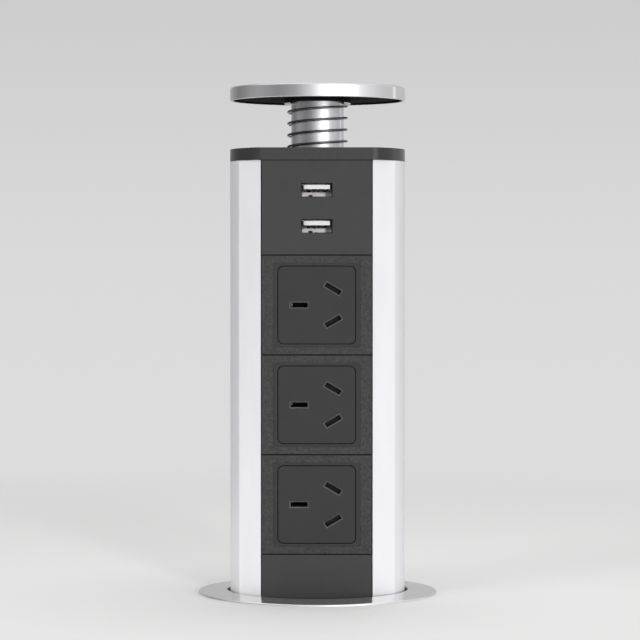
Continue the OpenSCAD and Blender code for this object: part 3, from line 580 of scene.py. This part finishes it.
def coil_spring():
    """Round wire wound around the post, with a cut end at the top and at the bottom."""
    climb = spring_high - spring_low - 2 * WIRE_R
    bpy.ops.object.select_all(action="DESELECT")
    bpy.ops.mesh.primitive_circle_add(vertices=WIRE_SIDES, radius=WIRE_R, rotation=(pi / 2, 0, 0),
                                      location=(COIL_R, 0, spring_low + WIRE_R))
    obj = bpy.context.object
    obj.name = "coil_spring"
    settle(obj)
    apply_modifier(obj, "SCREW", axis="Z", angle=2 * pi, screw_offset=climb / COIL_TURNS,
                   iterations=COIL_TURNS, steps=COIL_STEPS, render_steps=COIL_STEPS,
                   use_smooth_shade=True)
    edit_all(obj)
    bpy.ops.mesh.remove_doubles(threshold=MERGE)
    bpy.ops.mesh.select_all(action="DESELECT")
    bpy.ops.mesh.select_non_manifold(extend=False)
    bpy.ops.mesh.fill_holes(sides=0)
    bpy.ops.mesh.select_all(action="SELECT")
    bpy.ops.mesh.normals_make_consistent(inside=False)
    leave_edit()
    obj.rotation_euler = (0, 0, COIL_START)
    settle(obj)
    bpy.ops.object.shade_smooth_by_angle(angle=WIRE_SMOOTH_ANGLE)
    hand_in(obj, wire_dark, "lid_spring")
    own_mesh(obj)


# Tower

def rounded(node, name, finish, width, segments=2, angle=SHARP):
    """A node's own shape with its edges rounded."""
    obj = copy_of_node(node, name)
    round_edges(obj, width, segments, angle)
    hand_in(obj, finish, node)


def front_panel(node, name):
    """A front panel's shape, its ends drawn in at the front and shut behind for a dark groove."""
    obj = copy_of_node(node, name)
    low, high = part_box(node)
    edit_all(obj)
    bpy.ops.mesh.bisect(plane_co=(0, low.y + SEAM_DEEP, 0), plane_no=(0, 1, 0))
    leave_edit()
    behind = low.y + 0.5 * SEAM_DEEP
    side = max(point.co.x for point in obj.data.vertices if point.co.y < behind)
    edit_points(obj, lambda at: abs(abs(at.x) - side) < NEAR)
    bpy.ops.transform.resize(value=(1 - SIDE_OPEN / side, 1, 1), center_override=(0, 0, 0))
    leave_edit()
    for end, inward in ((low.z, 1), (high.z, -1)):
        edit_points(obj, lambda at: at.y < behind and abs(at.z - end) < NEAR)
        bpy.ops.transform.translate(value=(0, 0, inward * SEAM_OPEN))
        leave_edit()
        edit_points(obj, lambda at: at.y > behind and abs(at.z - end) < NEAR)
        bpy.ops.transform.translate(value=(0, 0, -inward * SEAM_SHUT))
        leave_edit()
    round_edges(obj, PANEL_ROUND)
    return obj


def sockets():
    """Three socket panels with their slotted inserts, modelled once and set one under the other."""
    recess_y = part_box("socket_frame_upper")[0].y + 0.5 * RECESS_DEEP
    # The slots' chamfers get the lighter finish, a painted highlight
    painted_slot_edges = (slot_edge_highlight, lambda middle, normal: SLANT_LOW < -normal.y < SLANT_HIGH)
    recess = (insert_black, lambda middle, normal: middle.y > recess_y and -normal.y > FRONT_FACE)
    panel = front_panel("socket_frame_upper", "frame_upper")
    insert = copy_of_node("socket_insert_upper", "insert_upper")
    round_edges(insert, PANEL_ROUND)
    for row, place_name in enumerate(("middle", "lower"), start=1):
        down = (0, 0, row * socket_drop)
        next_panel = copy_at(panel, "frame_" + place_name, down)
        next_insert = copy_at(insert, "insert_" + place_name, down)
        hand_in(next_panel, frame_black, "socket_frame_" + place_name, recess)
        hand_in(next_insert, insert_black, "socket_insert_" + place_name, painted_slot_edges)
    hand_in(panel, frame_black, "socket_frame_upper", recess)
    hand_in(insert, insert_black, "socket_insert_upper", painted_slot_edges)


def port_linings():
    """Sheet steel lining of each charging port: a thin tube whose mouth thins out."""
    low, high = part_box("usb_shell_upper")
    tube = box("port_lining_upper", (low.x, low.y + PORT_SET_BACK, low.z), high)
    edit_faces(tube, lambda middle, normal: abs(normal.y) > END_FACE)
    bpy.ops.mesh.delete(type="FACE")
    leave_edit()
    apply_modifier(tube, "SOLIDIFY", thickness=PORT_WALL, offset=-1, use_even_offset=True)
    mouth = low.y + PORT_SET_BACK
    wide, tall = high.x - low.x, high.z - low.z
    edit_points(tube, lambda at: at.y < mouth + PORT_EDGE and abs(at.x) < high.x - PORT_EDGE)
    bpy.ops.transform.resize(value=((wide - 2 * PORT_EDGE) / (wide - 2 * PORT_WALL), 1,
                                    (tall - 2 * PORT_EDGE) / (tall - 2 * PORT_WALL)),
                             center_override=(0, mouth, (low.z + high.z) / 2))
    leave_edit()
    # The linings' dark grey is painted shade inside the ports
    hand_in(copy_at(tube, "port_lining_lower", (0, 0, port_drop)), port_shade_grey, "usb_shell_lower")
    hand_in(tube, port_shade_grey, "usb_shell_upper")


def port_tongues():
    """White tongues, each on a block at the back of its port with a notched foot before it."""
    low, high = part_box("usb_tongues")
    shell_low, shell_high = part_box("usb_shell_upper")
    under = (shell_low.z + shell_high.z) / 2 + TONGUE_LIFT
    floor_z = shell_low.z + PORT_WALL
    block_y = low.y + TONGUE_LONG
    notch_low = (NOTCH_LEFT, low.y, shell_low.z)
    notch_high = (NOTCH_RIGHT, high.y + OVERLAP, floor_z + NOTCH_TALL)
    block = box("port_tongues", (low.x, block_y, floor_z), (high.x, high.y, high.z))
    tongue = box("tongue", (-TONGUE_WIDE / 2, low.y, under),
                 (TONGUE_WIDE / 2, block_y + OVERLAP, under + TONGUE_THICK))
    apply_modifier(block, "BOOLEAN", operation="UNION", object=tongue, solver="EXACT")
    bpy.data.objects.remove(tongue)
    # The notch goes through the block; the near black board behind it is painted shade
    cut(block, box("notch", notch_low, notch_high))
    round_edges(block, TONGUE_ROUND, segments=3)
    foot = box("foot", (low.x, block_y - FOOT_LONG, floor_z), (high.x, block_y, floor_z + FOOT_TALL))
    cut(foot, box("notch", notch_low, notch_high))
    round_edges(foot, FOOT_ROUND)
    upper = join("port_tongues", [block, foot])
    lower = copy_at(upper, "tongue_lower", (0, 0, port_drop))
    hand_in(join("port_tongues", [upper, lower]), tongue_white, "usb_tongues")


def port_pins():
    """Four springy contacts under each tongue."""
    low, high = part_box("usb_pins")
    first = box("port_pins", (-PIN_WIDE / 2, low.y, high.z - PIN_DEEP), (PIN_WIDE / 2, high.y, high.z))
    round_edges(first, PIN_ROUND, segments=3)
    rows = [copy_at(first, "pin", (x, 0, drop)) for x in PIN_XS for drop in (0, port_drop)]
    bpy.data.objects.remove(first)
    # The pins' near black is painted shade under the tongues
    hand_in(join("port_pins", rows), contact_shade_dark, "usb_pins")


def screws():
    """Countersunk screws with a cross recess, in the top cap and in the bottom cap."""
    cone = SCREW_HEAD_R - SCREW_R
    one = turned("screw", [(SCREW_HEAD_R, 0), (SCREW_R, -cone), (SCREW_R, -SCREW_LONG)], bored=False,
                 sides=SMALL_SIDES)
    half_long, half_wide = CROSS_LONG / 2, CROSS_WIDE / 2
    cut(one, box("cross", (-half_long, -half_wide, -CROSS_DEEP), (half_long, half_wide, CROSS_DEEP)))
    cut(one, box("cross", (-half_wide, -half_long, -CROSS_DEEP), (half_wide, half_long, CROSS_DEEP)))
    round_edges(one, SCREW_ROUND)
    places = [(-SCREW_RING_R * sin(radians(turn)), SCREW_RING_R * cos(radians(turn)))
              for turn in SCREW_TURNS]
    top = [copy_at(one, "screw_top", (x, y, cap_high)) for x, y in places]
    bottom = [copy_at(one, "screw_bottom", (x, y, base_low), upside_down=True) for x, y in places]
    bpy.data.objects.remove(one)
    hand_in(join("cap_screw_set", top), zinc_steel, "cap_screws")
    hand_in(join("base_screw_set", bottom), zinc_steel, "bottom_screws")


lid()
boss_ring()
polished_post()
coil_spring()
sockets()
port_linings()
port_tongues()
port_pins()
screws()
rounded("lid_liner", "lid_lining", liner_black, LINER_ROUND)
rounded("spring_washer", "spring_seat", bright_steel, SEAT_ROUND)
rounded("tower_shell", "shell", shell_silver, SHELL_ROUND, angle=SHELL_SHARP)
rounded("top_cap", "cap", cap_black, CAP_ROUND, segments=3)
hand_in(front_panel("usb_plate", "port_panel"), plate_black, "usb_plate")
hand_in(front_panel("blank_panel", "foot_panel"), plate_black, "blank_panel")
rounded("trim_ring", "desk_ring", ring_silver, RING_ROUND, segments=3, angle=RING_SHARP)
rounded("collar", "threaded_collar", collar_black, COLLAR_ROUND)
rounded("ring_nut", "clamp_nut", collar_black, NUT_ROUND)
rounded("clamp_washer", "clamp_ring", zinc_steel, WASHER_ROUND)
rounded("bottom_cap", "base_cap", collar_black, BASE_ROUND)
rounded("gland_body", "gland", collar_black, GLAND_ROUND)
rounded("gland_nut", "gland_cap", collar_black, GLAND_CAP_ROUND)

# Nodes that keep their own mesh get the finish of their slot
for node, obj in nodes.items():
    obj.data.materials.clear()
    obj.data.materials.append(finish_of_slot[slot_of_node[node]])


# Studio

# The floor stands a hair above the ring's underside, so that the underside shows from below
FLOOR_R = 0.75
FLOOR_SIDES = 128
FLOOR_COLOR = (0.84, 0.84, 0.835, 1)
FLOOR_ROUGHNESS = 0.7
FLOOR_GLOSS = 0.2
FLOOR_FADE = 0.16
HAZE = 0.715
HOLE_R = 40 * MM
FLOOR_LIFT = 0.02 * MM
FILL = 0.2
OVERHEAD = 0.85
OVERHEAD_LOW = 0.5
OVERHEAD_HIGH = 0.8

# Light level around the object for the metal to mirror: degrees to the right of the camera, and level
SWEEP = [
    (-180, 0.5), (-150, 0.33), (-125, 0.2), (-85, 0.36), (-50, 0.26), (-28, 0.36), (-6, 0.75),
    (10, 1.4), (25, 2.2), (42, 2.0), (58, 0.95), (75, 0.75), (95, 0.62), (120, 0.56),
    (121.5, 1.4), (123, 1.4), (124.5, 0.58), (150, 0.55), (180, 0.5),
]
# Backdrop level: height of the line of sight, as a sine, and level, within a reach
BACKDROP = [(-0.07, HAZE), (0, 0.7), (0.1, 0.6)]
SIGHT_REACH = 0.2


def ramp_of(tree, value, low, high, stops):
    """A ramp of greys over a range of values."""
    ranged = tree.nodes.new("ShaderNodeMapRange")
    ranged.inputs["From Min"].default_value = low
    ranged.inputs["From Max"].default_value = high
    ramp = tree.nodes.new("ShaderNodeValToRGB")
    elements = ramp.color_ramp.elements
    while len(elements) < len(stops):
        elements.new(0.5)
    for element, (at, level) in zip(elements, stops):
        element.position = (at - low) / (high - low)
        element.color = (level, level, level, 1)
    tree.links.new(value, ranged.inputs["Value"])
    tree.links.new(ranged.outputs["Result"], ramp.inputs["Fac"])
    return ramp.outputs["Color"]


def studio_world():
    """Pale backdrop for the camera, a sweep of soft light to mirror and an even fill for the rest."""
    world = bpy.data.worlds.new("studio")
    bpy.context.scene.world = world
    world.use_nodes = True
    tree = world.node_tree
    tree.nodes.clear()
    split = tree.nodes.new("ShaderNodeSeparateXYZ")
    tree.links.new(tree.nodes.new("ShaderNodeTexCoord").outputs["Generated"], split.inputs["Vector"])
    front = tree.nodes.new("ShaderNodeMath")
    front.operation = "MULTIPLY"
    front.inputs[1].default_value = -1
    tree.links.new(split.outputs["Y"], front.inputs[0])
    turn = tree.nodes.new("ShaderNodeMath")
    turn.operation = "ARCTAN2"
    tree.links.new(split.outputs["X"], turn.inputs[0])
    tree.links.new(front.outputs["Value"], turn.inputs[1])
    angle = tree.nodes.new("ShaderNodeMath")
    angle.operation = "DEGREES"
    tree.links.new(turn.outputs["Value"], angle.inputs[0])
    above = tree.nodes.new("ShaderNodeMapRange")
    above.inputs["From Min"].default_value = OVERHEAD_LOW
    above.inputs["From Max"].default_value = OVERHEAD_HIGH
    tree.links.new(split.outputs["Z"], above.inputs["Value"])
    mirrored = tree.nodes.new("ShaderNodeMix")
    mirrored.data_type = "RGBA"
    mirrored.inputs["B"].default_value = (OVERHEAD, OVERHEAD, OVERHEAD, 1)
    tree.links.new(above.outputs["Result"], mirrored.inputs["Factor"])
    tree.links.new(ramp_of(tree, angle.outputs["Value"], -180, 180, SWEEP), mirrored.inputs["A"])
    sweep = tree.nodes.new("ShaderNodeBackground")
    fill = tree.nodes.new("ShaderNodeBackground")
    backdrop = tree.nodes.new("ShaderNodeBackground")
    fill.inputs["Color"].default_value = (FILL, FILL, FILL, 1)
    tree.links.new(mirrored.outputs["Result"], sweep.inputs["Color"])
    tree.links.new(ramp_of(tree, split.outputs["Z"], -SIGHT_REACH, SIGHT_REACH, BACKDROP),
                   backdrop.inputs["Color"])
    path = tree.nodes.new("ShaderNodeLightPath")
    unseen = tree.nodes.new("ShaderNodeMixShader")
    seen = tree.nodes.new("ShaderNodeMixShader")
    out = tree.nodes.new("ShaderNodeOutputWorld")
    tree.links.new(path.outputs["Is Glossy Ray"], unseen.inputs["Fac"])
    tree.links.new(fill.outputs["Background"], unseen.inputs[1])
    tree.links.new(sweep.outputs["Background"], unseen.inputs[2])
    tree.links.new(path.outputs["Is Camera Ray"], seen.inputs["Fac"])
    tree.links.new(unseen.outputs["Shader"], seen.inputs[1])
    tree.links.new(backdrop.outputs["Background"], seen.inputs[2])
    tree.links.new(seen.outputs["Shader"], out.inputs["Surface"])


def floor():
    """Pale desk top with the tower's hole, which fades into the backdrop and isn't seen from below."""
    bpy.ops.object.select_all(action="DESELECT")
    bpy.ops.mesh.primitive_circle_add(vertices=FLOOR_SIDES, radius=FLOOR_R, location=(0, 0, FLOOR_LIFT),
                                      fill_type="NGON")
    obj = bpy.context.object
    obj.name = "floor"
    settle(obj)
    edit_faces(obj, lambda middle, normal: True)
    bpy.ops.mesh.inset(thickness=FLOOR_R - HOLE_R)
    bpy.ops.mesh.delete(type="FACE")
    leave_edit()
    material = bpy.data.materials.new("desk_top")
    material.use_nodes = True
    tree = material.node_tree
    shader = tree.nodes["Principled BSDF"]
    shader.inputs["Base Color"].default_value = FLOOR_COLOR
    shader.inputs["Roughness"].default_value = FLOOR_ROUGHNESS
    shader.inputs["Specular IOR Level"].default_value = FLOOR_GLOSS
    reach = tree.nodes.new("ShaderNodeVectorMath")
    reach.operation = "LENGTH"
    tree.links.new(tree.nodes.new("ShaderNodeTexCoord").outputs["Object"], reach.inputs[0])
    fade = tree.nodes.new("ShaderNodeMapRange")
    fade.interpolation_type = "SMOOTHSTEP"
    fade.inputs["From Min"].default_value = FLOOR_FADE
    fade.inputs["From Max"].default_value = FLOOR_R
    tree.links.new(reach.outputs["Value"], fade.inputs["Value"])
    clear = tree.nodes.new("ShaderNodeBsdfTransparent")
    haze = tree.nodes.new("ShaderNodeEmission")
    haze.inputs["Color"].default_value = (HAZE, HAZE, HAZE, 1)
    path = tree.nodes.new("ShaderNodeLightPath")
    below = tree.nodes.new("ShaderNodeNewGeometry")
    far = tree.nodes.new("ShaderNodeMixShader")
    top = tree.nodes.new("ShaderNodeMixShader")
    whole = tree.nodes.new("ShaderNodeMixShader")
    tree.links.new(path.outputs["Is Camera Ray"], far.inputs["Fac"])
    tree.links.new(clear.outputs["BSDF"], far.inputs[1])
    tree.links.new(haze.outputs["Emission"], far.inputs[2])
    tree.links.new(fade.outputs["Result"], top.inputs["Fac"])
    tree.links.new(shader.outputs["BSDF"], top.inputs[1])
    tree.links.new(far.outputs["Shader"], top.inputs[2])
    tree.links.new(below.outputs["Backfacing"], whole.inputs["Fac"])
    tree.links.new(top.outputs["Shader"], whole.inputs[1])
    tree.links.new(clear.outputs["BSDF"], whole.inputs[2])
    tree.links.new(whole.outputs["Shader"], tree.nodes["Material Output"].inputs["Surface"])
    obj.data.materials.append(material)


def softbox(name, place, aim, size, power):
    """Soft lamp that lights surfaces without showing in the polished metal."""
    bpy.ops.object.select_all(action="DESELECT")
    bpy.ops.object.light_add(type="AREA", location=place)
    lamp = bpy.context.object
    lamp.name = name
    lamp.data.shape = "DISK"
    lamp.data.size = size
    lamp.data.energy = power
    lamp.rotation_euler = (Vector(aim) - Vector(place)).to_track_quat("-Z", "Y").to_euler()
    lamp.visible_glossy = False


studio_world()
floor()
softbox("front", place=(0.6, -1.69, 0.2), aim=(0, 0, 0.1), size=0.25, power=26.5)
softbox("side", place=(-1.2, -1.15, 0.25), aim=(0, 0, 0.1), size=0.8, power=15)
softbox("overhead", place=(0.1, 0.1, 1.5), aim=(0, 0, 0), size=1.2, power=15)


# Camera: lengths in the picture are in its pixels

PHOTO_SIDE = 640
SENSOR = 36
FOCAL = 2756
HORIZON = 256
AXIS_LEFT = 2.5
CAMERA_AWAY = 1.185
CAMERA_HIGH = 0.1449
CAMERA_TURN = radians(0.65)

camera_data = bpy.data.cameras.new("camera")
camera = bpy.data.objects.new("camera", camera_data)
bpy.context.scene.collection.objects.link(camera)
camera_data.sensor_width = SENSOR
camera_data.lens = SENSOR * FOCAL / PHOTO_SIDE
sideways = AXIS_LEFT * CAMERA_AWAY / FOCAL
camera.location = (sideways * cos(CAMERA_TURN) + CAMERA_AWAY * sin(CAMERA_TURN),
                   sideways * sin(CAMERA_TURN) - CAMERA_AWAY * cos(CAMERA_TURN), CAMERA_HIGH)
camera.rotation_euler = (pi / 2 - atan((PHOTO_SIDE / 2 - HORIZON) / FOCAL), 0, CAMERA_TURN)
bpy.context.scene.camera = camera
bpy.context.scene.view_settings.view_transform = "Standard"
